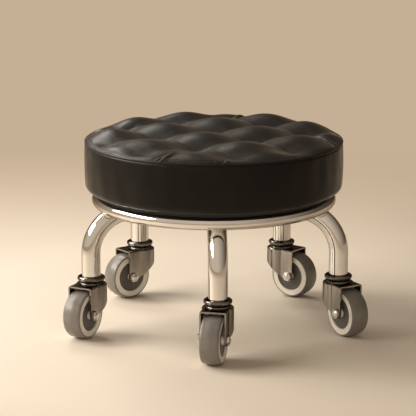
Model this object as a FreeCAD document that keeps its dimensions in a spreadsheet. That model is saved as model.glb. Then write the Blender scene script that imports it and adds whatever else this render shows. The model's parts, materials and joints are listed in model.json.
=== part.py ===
import FreeCAD, Part
import math
import os
import re

import Sketcher

# Low rolling stool: a tufted round cushion on a ring frame with five bent legs and five swivel casters.
# Millimetres, +Z up. The origin is on the floor under the middle of the seat, and the first leg is at -Y.

# Driving sizes: name, value, and what it measures.
SIZES = (
    ("seat_diameter", 350, "outside of the cushion's side band"),
    ("band_height", 66, "side band from the cushion's underside to the top seam"),
    ("band_corner_radius", 9, "rounded lower edge of the side band"),
    ("hem_width", 24, "how far the band is turned in under the seat board"),
    ("cover_thickness", 1.4, "coated fabric of the cover"),
    ("seam_allowance", 6, "turned-in edge of the top cover below its lowest tuft"),
    ("crown_rise", 16, "tops of the mounds above the top seam"),
    ("crown_shoulder", 42, "width of the rounded edge between the seam and the crown"),
    ("mound_pitch", 86, "spacing of the tufted mounds"),
    ("mound_rise", 9, "height of a mound along one row"),
    ("mound_low_rise", 1.8, "height along its row of a mound that the rim or pleats keep low"),
    ("mound_turn", 36.6, "angle of the rows of mounds"),
    ("mound_lean", -7.8, "angle by which the rows of mounds are out of square"),
    ("mound_shift", -14, "middle mound sideways from the middle of the seat"),
    ("mound_advance", -29, "middle mound forwards from the middle of the seat"),
    ("welt_diameter", 3, "cord in the top seam"),
    ("welt_stand", 0.6, "how far the cord stands out of the side band"),
    ("soft_gap", 0.3, "room between soft pieces and their neighbours"),
    ("board_thickness", 12, "plywood seat board"),
    ("mount_board_overlap", 2, "edge of the dark board outside the middle of the ring tube"),
    ("mount_board_thickness", 5.2, "dark board between the cushion and the ring"),
    ("screw_diameter", 6, "seat screws"),
    ("screw_head_diameter", 12, "seat screws"),
    ("screw_head_height", 4, "seat screws"),
    ("screw_washer_diameter", 16, "washers under the seat screws"),
    ("screw_washer_thickness", 1.5, "washers under the seat screws"),
    ("screw_inset", 26, "seat screws inside the middle of the ring tube"),
    ("screw_clearance", 0.3, "room round a screw in its hole"),
    ("tee_barrel_diameter", 8.5, "tee nuts in the seat board"),
    ("tee_barrel_length", 8, "tee nuts in the seat board"),
    ("tee_flange_diameter", 19, "tee nuts in the seat board"),
    ("tee_flange_thickness", 1.5, "tee nuts in the seat board"),
    ("tab_width", 30, "mounting tabs inside the ring"),
    ("tab_end", 21, "mounting tabs past the screws, towards the middle"),
    ("tab_ring_gap", 5, "mounting tabs' outer end inside the middle of the ring tube"),
    ("tab_thickness", 3, "mounting tabs inside the ring"),
    ("ring_inset", 17.5, "middle of the ring tube inside the legs' upright parts"),
    ("ring_tube_diameter", 17, "ring tube"),
    ("ring_tube_wall", 1.5, "ring tube"),
    ("ring_rise", 9.9, "ring tube's middle above the middle of the leg runs"),
    ("leg_overhang", 0.5, "middle of the legs' upright parts outside the side band"),
    ("leg_drop", 87.7, "middle of a leg's level run above its lower end"),
    ("leg_bend_radius", 55, "middle line of a leg's bend"),
    ("leg_tube_diameter", 25.4, "leg tubes"),
    ("leg_tube_wall", 1.8, "leg tubes"),
    ("first_leg_angle", -90, "direction of the first leg from +X"),
    ("hub_diameter", 50, "centre hub"),
    ("hub_wall", 6, "centre hub"),
    ("hub_height", 30, "centre hub"),
    ("plug_flange_thickness", 2.5, "plastic plug under the hub"),
    ("plug_depth", 9, "plastic plug in the hub"),
    ("fit_clearance", 0.05, "radial room in fixed fits"),
    ("running_clearance", 0.06, "radial room in turning fits"),
    ("socket_length", 34, "threaded socket in a leg's end"),
    ("stem_diameter", 10, "caster stem"),
    ("stem_grip", 30, "caster stem inside the socket"),
    ("stem_head_diameter", 17, "riveted head under the fork"),
    ("stem_head_height", 2.6, "riveted head under the fork"),
    ("thrust_washer_diameter", 19, "washer between the fork and the riveted head"),
    ("thrust_washer_thickness", 1.2, "washer between the fork and the riveted head"),
    ("swivel_play", 0.15, "room above and below the fork's turning faces"),
    ("collar_roll_radius", 2.4, "rolled edge of the swivel collar"),
    ("collar_floor", 4.2, "swivel collar under the leg's end"),
    ("collar_edge_radius", 3.9, "lower edge of the swivel collar"),
    ("collar_tube_gap", 1.2, "room round the leg's end in the collar"),
    ("ball_diameter", 4.8, "swivel balls"),
    ("ball_circle_radius", 12, "swivel balls from the swivel axis"),
    ("race_gap", 1.5, "collar's underside above the fork's raised race"),
    ("race_rise", 1.7, "raised race above the fork's top plate"),
    ("race_lip", 1.8, "raised race outside the balls"),
    ("race_edge_radius", 1.2, "rounded edge of the raised race"),
    ("fork_sheet", 2, "fork sheet metal"),
    ("fork_flare", 3.3, "fork's round rear part past its flat cheeks"),
    ("fork_rear_depth", 14, "height of the fork's rear skirt"),
    ("fork_edge_radius", 2.4, "rounded top edge of the fork"),
    ("cheek_end_radius", 7.3, "fork cheek round the axle"),
    ("axle_boss_diameter", 13.6, "raised seat round the axle on each cheek"),
    ("axle_boss_rise", 0.8, "raised seat round the axle on each cheek"),
    ("caster_trail", 23.3, "axle behind the swivel axis"),
    ("wheel_diameter", 65, "wheel over the tread"),
    ("wheel_top_gap", 3.8, "room between the wheel and the fork's top plate"),
    ("rim_width", 25, "wheel core at its rim"),
    ("cheek_gap", 3.1, "room between the rim and a fork cheek"),
    ("hub_gap", 0.3, "room between the wheel's boss and a fork cheek"),
    ("tyre_thickness", 3.6, "tread over the rim"),
    ("tyre_bulge", 0.4, "tread's side outside the rim's face"),
    ("tyre_shoulder_radius", 3.4, "rounded edge of the tread"),
    ("cap_diameter", 43, "dark cover disc on the wheel's side"),
    ("cap_thickness", 2, "dark cover disc on the wheel's side"),
    ("cap_recess", 2, "cover disc's face below the rim's face"),
    ("wheel_boss_diameter", 11.5, "wheel core round the axle"),
    ("axle_diameter", 6, "axle bolt"),
    ("sleeve_diameter", 9.6, "axle sleeve"),
    ("nut_across_flats", 11.5, "axle nut and bolt head"),
    ("nut_height", 2.6, "axle nut and bolt head"),
    ("nut_dome", 1.8, "domed end of the axle nut and bolt head"),
    ("nut_dome_share", 0.9, "width of the dome against the flats"),
    ("heading_1", -104.6, "direction of the first wheel from its swivel axis"),
    ("heading_2", -60.9, "direction of the second wheel from its swivel axis"),
    ("heading_3", -39.2, "direction of the third wheel from its swivel axis"),
    ("heading_4", -144.2, "direction of the fourth wheel from its swivel axis"),
    ("heading_5", -119, "direction of the fifth wheel from its swivel axis"),
    ("cut_overrun", 5, "how far a cut runs past what it cuts"),
)
LEG_COUNT = 5
BALL_COUNT = 10
HEX_SIDES = 6

doc = FreeCAD.newDocument("RollingStool")
sheet = doc.addObject("Spreadsheet::Sheet", "Sizes")
for row, (alias, number, note) in enumerate(SIZES, start=1):
    sheet.set(f"A{row}", alias)
    sheet.set(f"B{row}", str(number))
    sheet.set(f"C{row}", note)
    sheet.setAlias(f"B{row}", alias)
doc.recompute()
NAMES = {alias for alias, number, note in SIZES}

# Heights, from the floor up.
AXLE_Z = "(wheel_diameter / 2)"
PLATE_UNDER = "(wheel_diameter + wheel_top_gap)"
PLATE_TOP = f"({PLATE_UNDER} + fork_sheet)"
RACE_TOP = f"({PLATE_TOP} + race_rise)"
COLLAR_UNDER = f"({RACE_TOP} + race_gap)"
BALL_Z = f"({RACE_TOP} + race_gap / 2)"
LEG_END = f"({COLLAR_UNDER} + collar_floor)"
LEG_RUN = f"({LEG_END} + leg_drop)"
RING_Z = f"({LEG_RUN} + ring_rise)"
RING_TOP = f"({RING_Z} + ring_tube_diameter / 2 + fit_clearance)"
TAB_UNDER = f"({RING_TOP} - tab_thickness)"
SEAT_BASE = f"({RING_TOP} + mount_board_thickness)"
BOARD_UNDER = f"({SEAT_BASE} + cover_thickness + soft_gap)"
BOARD_TOP = f"({BOARD_UNDER} + board_thickness)"
SEAM = f"({SEAT_BASE} + band_height)"
BAND_TOP = f"({SEAM} - welt_diameter / 2 - soft_gap)"
RIM_UNDER = f"({SEAM} + welt_diameter / 2 + soft_gap)"
PEAK = f"({SEAM} + crown_rise)"
SKIRT_LOW = f"({PEAK} - 2 * mound_rise - seam_allowance)"

# Radii and half widths that several pieces share.
SEAT_R = "(seat_diameter / 2)"
LEG_CIRCLE = f"({SEAT_R} + leg_overhang)"
RING_R = f"({LEG_CIRCLE} - ring_inset)"
MOUNT_R = f"({RING_R} + mount_board_overlap)"
SCREW_R = f"({RING_R} - screw_inset)"
SKIRT_R = f"({SEAT_R} + welt_stand - welt_diameter - soft_gap)"
BAND_BORE = f"({SEAT_R} - cover_thickness - soft_gap)"
CROWN_H = f"({PEAK} - {RIM_UNDER})"
CROWN_R = f"((crown_shoulder ^ 2 + {CROWN_H} ^ 2) / (2 * {CROWN_H}))"
LEG_BORE = "(leg_tube_diameter / 2 - leg_tube_wall)"
STEM_R = "(stem_diameter / 2)"
DISH_R = "(leg_tube_diameter / 2 + collar_tube_gap)"
COLLAR_R = f"({DISH_R} + 2 * collar_roll_radius)"
RACE_R = "(ball_circle_radius + ball_diameter / 2 + race_lip)"
RIM_HALF = "(rim_width / 2)"
CHEEK_IN = f"({RIM_HALF} + cheek_gap)"
CHEEK_OUT = f"({CHEEK_IN} + fork_sheet)"
FORK_REAR = f"({CHEEK_OUT} + fork_flare)"
FORK_FRONT = "(caster_trail + cheek_end_radius)"
RIM_R = "(wheel_diameter / 2 - tyre_thickness)"
NUT_SEAT = f"({CHEEK_OUT} + axle_boss_rise)"
NUT_FACE = f"({NUT_SEAT} + nut_height)"
NUT_END = f"({NUT_FACE} + nut_dome)"
BOLT_END = NUT_FACE


def linked(expression):
    """The expression with every size name pointing at its cell."""
    def cell(word):
        return f"Sizes.{word.group()}" if word.group() in NAMES else word.group()
    return re.sub(r"[a-z_]+[0-9]?", cell, expression)


def value(expression):
    """What an expression of size names comes to now."""
    result = sheet.evalExpression(linked(expression))
    return float(getattr(result, "Value", result))


def bind(thing, **expressions):
    """Bind properties to expressions; two underscores in a name stand for a point."""
    for name, expression in expressions.items():
        thing.setExpression(name.replace("__", "."), linked(expression))
    return thing


def new_body(name):
    body = doc.addObject("PartDesign::Body", name)
    body.Label = name
    return body


def new_sketch(body, name, plane, lift=None):
    """An empty sketch on one of the body's own planes, moved along its normal by lift."""
    sketch = body.newObject("Sketcher::SketchObject", f"{body.Name}_{name}")
    support = next(f for f in body.Origin.OriginFeatures if f.Role == f"{plane}_Plane")
    sketch.AttachmentSupport = (support, [""])
    sketch.MapMode = "FlatFace"
    if lift:
        bind(sketch, AttachmentOffset__Base__z=lift)
    return sketch


def fix_point(sketch, edge, end, x, y):
    """Hold one end of an edge at (x, y)."""
    for kind, axis, expression in (("DistanceX", -2, x), ("DistanceY", -1, y)):
        if expression == "0":
            sketch.addConstraint(Sketcher.Constraint("PointOnObject", edge, end, axis))
            continue
        rule = Sketcher.Constraint(kind, -1, 1, edge, end, value(expression))
        bind(sketch, **{f"Constraints[{sketch.addConstraint(rule)}]": expression})


def arc_between(start, end, radius, turn):
    """The short arc from start to end, with its middle on the left or the right of the way."""
    chord = end - start
    side = FreeCAD.Vector(-chord.y, chord.x, 0).normalize() * (1 if turn == "left" else -1)
    height = math.sqrt(max(radius ** 2 - chord.Length ** 2 / 4, 0))
    middle = (start + end) * 0.5 + side * height
    first, last = (start, end) if turn == "left" else (end, start)
    angles = [math.atan2(p.y - middle.y, p.x - middle.x) for p in (first, last)]
    if angles[1] < angles[0]:
        angles[1] += 2 * math.pi
    circle = Part.Circle(middle, FreeCAD.Vector(0, 0, 1), radius)
    return Part.ArcOfCircle(circle, *angles)


def outline(body, name, plane, corners, arcs=None, lift=None):
    """A closed sketch through the corners; arcs gives the radius and turn of the rounded edges."""
    arcs = arcs or {}
    sketch = new_sketch(body, name, plane, lift)
    points = [FreeCAD.Vector(value(x), value(y), 0) for x, y in corners]
    count = len(points)
    for i, start in enumerate(points):
        end = points[(i + 1) % count]
        if i in arcs:
            radius, turn = arcs[i]
            sketch.addGeometry(arc_between(start, end, value(radius), turn), False)
        else:
            sketch.addGeometry(Part.LineSegment(start, end), False)
    backwards = {i for i in arcs if arcs[i][1] == "right"}
    for i, (x, y) in enumerate(corners):
        before = (i - 1) % count
        start_end = 2 if i in backwards else 1
        before_end = 1 if before in backwards else 2
        sketch.addConstraint(Sketcher.Constraint("Coincident", before, before_end, i, start_end))
        fix_point(sketch, i, start_end, x, y)
    for i, (radius, turn) in arcs.items():
        rule = sketch.addConstraint(Sketcher.Constraint("Radius", i, value(radius)))
        bind(sketch, **{f"Constraints[{rule}]": radius})
    return sketch


def circles(body, name, plane, x, y, radii, lift=None):
    """A sketch of circles about one point."""
    sketch = new_sketch(body, name, plane, lift)
    middle = FreeCAD.Vector(value(x), value(y), 0)
    for i, radius in enumerate(radii):
        sketch.addGeometry(Part.Circle(middle, FreeCAD.Vector(0, 0, 1), value(radius)), False)
        fix_point(sketch, i, 3, x, y)
        rule = sketch.addConstraint(Sketcher.Constraint("Radius", i, value(radius)))
        bind(sketch, **{f"Constraints[{rule}]": radius})
    return sketch


def feature(body, kind, sketch, name):
    made = body.newObject(f"PartDesign::{kind}", f"{body.Name}_{name}")
    made.Profile = sketch
    return made


def turned(body, kind, sketch, name):
    """A full Revolution or Groove about the sketch's upright axis."""
    made = feature(body, kind, sketch, name)
    made.ReferenceAxis = (sketch, ["V_Axis"])
    made.Angle = 360
    return made


def pad(body, sketch, name, length, backwards=False, both_ways=False):
    made = feature(body, "Pad", sketch, name)
    made.Reversed = backwards
    made.Midplane = both_ways
    return bind(made, Length=length)


def pocket(body, sketch, name, length, upwards=False, both_ways=False):
    made = feature(body, "Pocket", sketch, name)
    made.Reversed = upwards
    made.Midplane = both_ways
    return bind(made, Length=length)


def polar(body, features, name):
    """Repeat features once for each leg about the upright axis."""
    made = body.newObject("PartDesign::PolarPattern", f"{body.Name}_{name}")
    made.Originals = features
    made.Axis = (features[0].Profile[0], ["N_Axis"])
    made.Angle = 360
    made.Occurrences = LEG_COUNT
    body.Tip = made
    return made


def revolved(name, corners, arcs=None, plane="XZ"):
    """A body turned from one outline: about Z from the XZ plane, about Y from the XY plane."""
    body = new_body(name)
    turned(body, "Revolution", outline(body, "outline", plane, corners, arcs), "turn")
    return body


def group(name, members):
    made = doc.addObject("Part::Compound", name)
    made.Label = name
    made.Links = members
    return made


def leg_angle(number):
    return f"(first_leg_angle + {number - 1} * 360 / {LEG_COUNT})"


def tab_angle(number):
    return f"({leg_angle(number)} + 180 / {LEG_COUNT})"


def at_angle(name, pattern, angle):
    """A copy of a piece, turned about the middle of the stool."""
    made = group(name, [pattern])
    made.Placement.Rotation.Axis = FreeCAD.Vector(0, 0, 1)
    return bind(made, Placement__Rotation__Angle=angle)


def at_caster(name, pattern, number, on_axle=False, half_turn=False):
    """A copy of a piece at a caster's swivel axis or axle, turned the way that its wheel points."""
    heading = f"heading_{number}"
    made = at_angle(name, pattern, f"{heading} + 180" if half_turn else heading)
    trail = "caster_trail" if on_axle else "0"
    turn = leg_angle(number)
    bind(made, Placement__Base__x=f"{LEG_CIRCLE} * cos({turn}) + {trail} * cos({heading})")
    bind(made, Placement__Base__y=f"{LEG_CIRCLE} * sin({turn}) + {trail} * sin({heading})")
    if on_axle:
        bind(made, Placement__Base__z=AXLE_Z)
    return made


def legs():
    return range(1, LEG_COUNT + 1)


def torus(name, radius, tube, height):
    made = doc.addObject("Part::Torus", name)
    return bind(made, Radius1=radius, Radius2=tube, Placement__Base__z=height)


def cut(name, base, tool):
    made = doc.addObject("Part::Cut", name)
    made.Label = name
    made.Base = base
    made.Tool = tool
    return made


def common(name, *members):
    made = doc.addObject("Part::MultiCommon", name)
    made.Label = name
    made.Shapes = members
    return made


# Mounds inside the rim that pleats keep low, by row and place in the row from the middle one.
LOW_MOUNDS = ((-1, -1),)


def mound_place(drop):
    """Where the rows of mounds lie on the seat, lowered by drop."""
    turn = FreeCAD.Rotation(FreeCAD.Vector(0, 0, 1), value("mound_turn"))
    return FreeCAD.Placement(FreeCAD.Vector(value("mound_shift"), value("mound_advance"), -drop), turn)


def mound_loft():
    """Rows of arched mounds, lofted across alternate high and low rows, about the middle mound."""
    pitch = value("mound_pitch")
    rise = value("mound_rise")
    lean = math.radians(value("mound_lean"))
    reach = value(f"{SEAT_R} + abs(mound_shift) + abs(mound_advance)")
    half_count = math.ceil(reach / pitch - 0.5)
    count = 2 * half_count + 1
    low = value(f"{SEAT_BASE} - cut_overrun")
    rim_level = value(f"{RIM_UNDER} + cover_thickness")
    rim_zone = value(f"{SEAT_R} - crown_shoulder / 2")
    place = mound_place(0)

    def away(along, across):
        return place.multVec(FreeCAD.Vector(along, across, 0)).Length

    def row(step):
        along = step * pitch / 2 * math.cos(lean)
        slide = step * pitch / 2 * math.sin(lean)
        top = value(PEAK) - (rise if step % 2 else 0)
        valleys = []
        for i in range(count + 1):
            across = (i - count / 2) * pitch + slide
            foot = top - rise
            if away(along, across) > rim_zone:
                foot = max(foot, rim_level)
            valleys.append(FreeCAD.Vector(along, across, foot))
        edges = []
        for i, (first, last) in enumerate(zip(valleys, valleys[1:])):
            across = (first.y + last.y) / 2
            spot = (step // 2, i - half_count)
            kept_low = away(along, across) > value(SEAT_R) or spot in LOW_MOUNDS
            crest = top - rise + value("mound_low_rise") if kept_low and step % 2 == 0 else top
            edges.append(Part.Arc(first, FreeCAD.Vector(along, across, crest), last).toShape())
        feet = [FreeCAD.Vector(along, valleys[i].y, low) for i in (-1, 0)]
        sides = [valleys[-1], *feet, valleys[0]]
        edges += [Part.LineSegment(a, b).toShape() for a, b in zip(sides, sides[1:])]
        return Part.Wire(edges)

    last = count + 1
    return Part.makeLoft([row(step) for step in range(-last, last + 1)], True, False)


def mounds(name, form, drop):
    """The mounds as a solid, lowered by drop."""
    made = doc.addObject("Part::Feature", name)
    made.Shape = form
    made.Placement = mound_place(value(drop))
    return made


def crown_top(inset):
    """The crown's rounded edge and top, from the edge's foot to the axis."""
    over = f"{PEAK} + cut_overrun"
    inner = f"{SEAT_R} - crown_shoulder"
    return [(inner, f"{PEAK} - {inset}"), (inner, over), ("0", over)]


def crown_foot(inset):
    """Height where the crown's edge, moved in by inset, meets the skirt moved in as far."""
    run = f"(crown_shoulder - {SEAT_R} + {SKIRT_R} - {inset})"
    return f"{PEAK} - {CROWN_R} + sqrt(({CROWN_R} - {inset}) ^ 2 - {run} ^ 2)"


def make_top_cover(form):
    skirt = [("0", SKIRT_LOW), (SKIRT_R, SKIRT_LOW), (SKIRT_R, RIM_UNDER), (SEAT_R, RIM_UNDER)]
    outside = revolved("crown_outside", skirt + crown_top("0"), {3: (CROWN_R, "left")})
    inset = "cover_thickness"
    side = f"{SKIRT_R} - {inset}"
    low = f"{SKIRT_LOW} - cut_overrun"
    inside = revolved(
        "crown_inside",
        [("0", low), (side, low), (side, crown_foot(inset))] + crown_top(inset),
        {2: (f"{CROWN_R} - {inset}", "left")},
    )
    outer = common("cover_outer", outside, mounds("mounds_outer", form, "0"))
    inner = common("cover_inner", inside, mounds("mounds_inner", form, inset))
    return cut("seat_top_cover", outer, inner)


def make_foam(form):
    inset = "(cover_thickness + soft_gap)"
    side = f"{SKIRT_R} - {inset}"
    low = f"{BOARD_TOP} + soft_gap"
    step = f"{SKIRT_LOW} - soft_gap"
    block = revolved(
        "foam_block",
        [("0", low), (BAND_BORE, low), (BAND_BORE, step), (side, step), (side, crown_foot(inset))]
        + crown_top(inset),
        {4: (f"{CROWN_R} - {inset}", "left")},
    )
    return common("seat_foam", block, mounds("mounds_foam", form, inset))


def make_side_band():
    inner_radius = "band_corner_radius - cover_thickness"
    bend = f"{SEAT_R} - band_corner_radius"
    hem = f"{SEAT_R} - hem_width"
    turn_in = f"{SEAT_BASE} + cover_thickness"
    wall = f"{SEAT_R} - cover_thickness"
    rise = f"{SEAT_BASE} + band_corner_radius"
    corners = [
        (SEAT_R, BAND_TOP), (SEAT_R, rise), (bend, SEAT_BASE), (hem, SEAT_BASE),
        (hem, turn_in), (bend, turn_in), (wall, rise), (wall, BAND_TOP),
    ]
    arcs = {1: ("band_corner_radius", "right"), 5: (inner_radius, "left")}
    return revolved("seat_side_band", corners, arcs)


def drill(body, name, radius, low, length):
    """One upright hole on the screw circle, for the pattern."""
    sketch = circles(body, name, "XY", SCREW_R, "0", [radius], low)
    return pocket(body, sketch, f"{name}_cut", length, upwards=True)


def make_boards():
    """The plywood seat board with its tee nut seats, and the dark board under the cushion."""
    corner = "(band_corner_radius - cover_thickness - soft_gap)"
    corners = [
        ("0", BOARD_UNDER), (f"{BAND_BORE} - {corner}", BOARD_UNDER),
        (BAND_BORE, f"{BOARD_UNDER} + {corner}"), (BAND_BORE, BOARD_TOP), ("0", BOARD_TOP),
    ]
    seat = revolved("seat_board", corners, {1: (corner, "left")})
    flange = f"{BOARD_TOP} - tee_flange_thickness"
    barrel = "tee_barrel_diameter / 2 + fit_clearance"
    recess = "tee_flange_diameter / 2 + screw_clearance"
    hole = drill(seat, "barrel", barrel, BOARD_UNDER, "board_thickness")
    polar(seat, [hole, drill(seat, "flange", recess, flange, "cut_overrun")], "holes")
    corners = [("0", RING_TOP), (MOUNT_R, RING_TOP), (MOUNT_R, SEAT_BASE), ("0", SEAT_BASE)]
    mount = revolved("mount_board", corners)
    hole = drill(mount, "screw", "screw_diameter / 2 + screw_clearance", RING_TOP, "mount_board_thickness")
    polar(mount, [hole], "holes")
    for board in (seat, mount):
        bind(board, Placement__Rotation__Angle=tab_angle(1))
    return [seat, mount]


def on_screw_circle(name, pattern):
    """A copy of a turned piece at every mounting tab."""
    copies = []
    for number in legs():
        copy = at_angle(f"{name}_{number}", pattern, tab_angle(number))
        bind(copy, Placement__Base__x=f"{SCREW_R} * cos({tab_angle(number)})")
        copies.append(bind(copy, Placement__Base__y=f"{SCREW_R} * sin({tab_angle(number)})"))
    return group(name, copies)


def make_seat_fasteners():
    bore = "screw_diameter / 2 + fit_clearance"
    flange = f"{BOARD_TOP} - tee_flange_thickness"
    foot = f"{flange} - tee_barrel_length"
    tee = revolved("tee_nut", [
        (bore, foot), ("tee_barrel_diameter / 2", foot), ("tee_barrel_diameter / 2", flange),
        ("tee_flange_diameter / 2", flange), ("tee_flange_diameter / 2", BOARD_TOP), (bore, BOARD_TOP),
    ])
    washer_under = f"{TAB_UNDER} - screw_washer_thickness"
    hole = "screw_diameter / 2 + screw_clearance"
    washer = revolved("screw_washer", [
        (hole, washer_under), ("screw_washer_diameter / 2", washer_under),
        ("screw_washer_diameter / 2", TAB_UNDER), (hole, TAB_UNDER),
    ])
    head_under = f"{washer_under} - screw_head_height"
    dome = "(screw_head_diameter ^ 2 / 4 + screw_head_height ^ 2) / (2 * screw_head_height)"
    screw = revolved("screw", [
        ("0", head_under), ("screw_head_diameter / 2", washer_under),
        ("screw_diameter / 2", washer_under), ("screw_diameter / 2", BOARD_TOP), ("0", BOARD_TOP),
    ], {0: (dome, "left")})
    return [
        on_screw_circle("seat_tee_nuts", tee),
        on_screw_circle("seat_washers", washer),
        on_screw_circle("seat_screws", screw),
    ]


def make_ring():
    outer = torus("ring_outer", RING_R, "ring_tube_diameter / 2", RING_Z)
    inner = torus("ring_inner", RING_R, "ring_tube_diameter / 2 - ring_tube_wall", RING_Z)
    return cut("frame_ring", outer, inner)


def ring_groove(body, name):
    """Cut the ring's tube out of a body, with the room of a fixed fit."""
    sketch = circles(body, name, "XZ", RING_R, RING_Z, ["ring_tube_diameter / 2 + fit_clearance"])
    return turned(body, "Groove", sketch, f"{name}_cut")


def make_tabs():
    body = new_body("mount_tab")
    half = "tab_width / 2"
    outer = f"({RING_R} - tab_ring_gap)"
    inner = f"({SCREW_R} - tab_end)"
    corners = [
        (f"{inner} + {half}", f"-{half}"), (outer, f"-{half}"), (outer, half),
        (f"{inner} + {half}", half), (inner, "0"),
    ]
    sketch = outline(body, "outline", "XY", corners, {3: (half, "left"), 4: (half, "left")}, TAB_UNDER)
    pad(body, sketch, "plate", "tab_thickness")
    ring_groove(body, "cope")
    drill(body, "hole", "screw_diameter / 2 + screw_clearance", TAB_UNDER, "tab_thickness")
    return group("mount_tabs", [at_angle(f"mount_tab_{n}", body, tab_angle(n)) for n in legs()])


def make_leg():
    """One leg along +X: a level run from the hub, a bend under the ring and a drop to the caster."""
    body = new_body("leg_tube")
    path = new_sketch(body, "path", "XZ")
    run, drop, bend = value(LEG_RUN), value(LEG_END), value("leg_bend_radius")
    reach = value(LEG_CIRCLE)
    turn = FreeCAD.Vector(reach - bend, run, 0)
    side = FreeCAD.Vector(reach, run - bend, 0)
    path.addGeometry(Part.LineSegment(FreeCAD.Vector(0, run, 0), turn), False)
    path.addGeometry(arc_between(turn, side, bend, "right"), False)
    path.addGeometry(Part.LineSegment(side, FreeCAD.Vector(reach, drop, 0)), False)
    fix_point(path, 0, 1, "0", LEG_RUN)
    fix_point(path, 0, 2, f"{LEG_CIRCLE} - leg_bend_radius", LEG_RUN)
    fix_point(path, 2, 1, LEG_CIRCLE, f"{LEG_RUN} - leg_bend_radius")
    fix_point(path, 2, 2, LEG_CIRCLE, LEG_END)
    path.addConstraint(Sketcher.Constraint("Coincident", 0, 2, 1, 2))
    path.addConstraint(Sketcher.Constraint("Coincident", 1, 1, 2, 1))
    radius = path.addConstraint(Sketcher.Constraint("Radius", 1, bend))
    bind(path, **{f"Constraints[{radius}]": "leg_bend_radius"})
    section = circles(body, "section", "YZ", "0", LEG_RUN, ["leg_tube_diameter / 2", LEG_BORE])
    pipe = feature(body, "AdditivePipe", section, "tube")
    pipe.Spine = (path, ["Edge1", "Edge2", "Edge3"])
    hub = circles(body, "hub", "XY", "0", "0", ["hub_diameter / 2 + fit_clearance"])
    pocket(body, hub, "cope", f"{LEG_RUN} + leg_tube_diameter", upwards=True)
    ring_groove(body, "saddle")
    return body


def make_hub():
    bore = "(hub_diameter / 2 - hub_wall)"
    low = f"({LEG_RUN} - hub_height / 2)"
    high = f"{LEG_RUN} + hub_height / 2"
    outer = "hub_diameter / 2"
    hub = revolved("center_hub", [(bore, low), (outer, low), (outer, high), (bore, high)])
    flange = f"{low} - plug_flange_thickness"
    edge = "(hub_diameter / 2 - hub_wall / 2)"
    dome = f"({edge} ^ 2 + plug_flange_thickness ^ 2) / (2 * plug_flange_thickness)"
    skirt = f"{bore} - fit_clearance"
    top = f"{low} + plug_depth"
    corners = [("0", flange), (edge, low), (skirt, low), (skirt, top), ("0", top)]
    plug = revolved("hub_plug", corners, {0: (dome, "left")})
    return [hub, plug]


def make_swivels():
    """What the leg ends hold: sockets, stems with riveted heads, collars, balls and thrust washers."""
    fixed = f"{STEM_R} + fit_clearance"
    top = f"{LEG_END} + socket_length"
    wall = f"{LEG_BORE} - fit_clearance"
    socket = revolved("socket", [(fixed, LEG_END), (wall, LEG_END), (wall, top), (fixed, top)])

    washer_under = f"{PLATE_UNDER} - swivel_play - thrust_washer_thickness"
    washer_top = f"{PLATE_UNDER} - swivel_play"
    bore = f"{STEM_R} + running_clearance"
    edge = "thrust_washer_diameter / 2"
    washer = revolved("thrust_washer", [
        (bore, washer_under), (edge, washer_under), (edge, washer_top), (bore, washer_top),
    ])

    head_under = f"{washer_under} - stem_head_height"
    dome = "(stem_head_diameter ^ 2 / 4 + stem_head_height ^ 2) / (2 * stem_head_height)"
    tip = f"{LEG_END} + stem_grip"
    stem = revolved("stem", [
        ("0", head_under), ("stem_head_diameter / 2", washer_under), (STEM_R, washer_under),
        (STEM_R, tip), ("0", tip),
    ], {0: (dome, "left")})

    corner = f"{COLLAR_R} - collar_edge_radius"
    roll = ("collar_roll_radius", "left")
    collar = revolved("collar", [
        (fixed, COLLAR_UNDER), (corner, COLLAR_UNDER), (COLLAR_R, f"{COLLAR_UNDER} + collar_edge_radius"),
        (COLLAR_R, LEG_END), (f"{COLLAR_R} - collar_roll_radius", f"{LEG_END} + collar_roll_radius"),
        (DISH_R, LEG_END), (fixed, LEG_END),
    ], {1: ("collar_edge_radius", "left"), 3: roll, 4: roll})
    ball_groove(collar)

    balls = []
    for number in range(BALL_COUNT):
        angle = f"{number} * 360 / {BALL_COUNT}"
        ball = doc.addObject("Part::Sphere", f"ball_{number}")
        bind(ball, Radius="ball_diameter / 2", Placement__Base__z=BALL_Z)
        bind(ball, Placement__Base__x=f"ball_circle_radius * cos({angle})")
        balls.append(bind(ball, Placement__Base__y=f"ball_circle_radius * sin({angle})"))
    ring_of_balls = group("ball_ring", balls)

    patterns = {
        "stem_sockets": socket, "caster_stems": stem, "swivel_collars": collar,
        "swivel_balls": ring_of_balls, "thrust_washers": washer,
    }
    return [group(name, [at_caster(f"{name}_{n}", p, n) for n in legs()]) for name, p in patterns.items()]


def ball_groove(body):
    groove = circles(body, "race", "XZ", "ball_circle_radius", BALL_Z, ["ball_diameter / 2 + swivel_play"])
    return turned(body, "Groove", groove, "race_cut")


def fork_plan(body, name, half, rear, front):
    """Plan of the fork: a round rear about the swivel axis that runs into flat cheeks."""
    start = f"sqrt({rear} ^ 2 - {half} ^ 2)"
    corners = [(start, f"-{half}"), (front, f"-{half}"), (front, half), (start, half), (f"-{rear}", "0")]
    return outline(body, name, "XY", corners, {3: (rear, "left"), 4: (rear, "left")})


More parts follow.
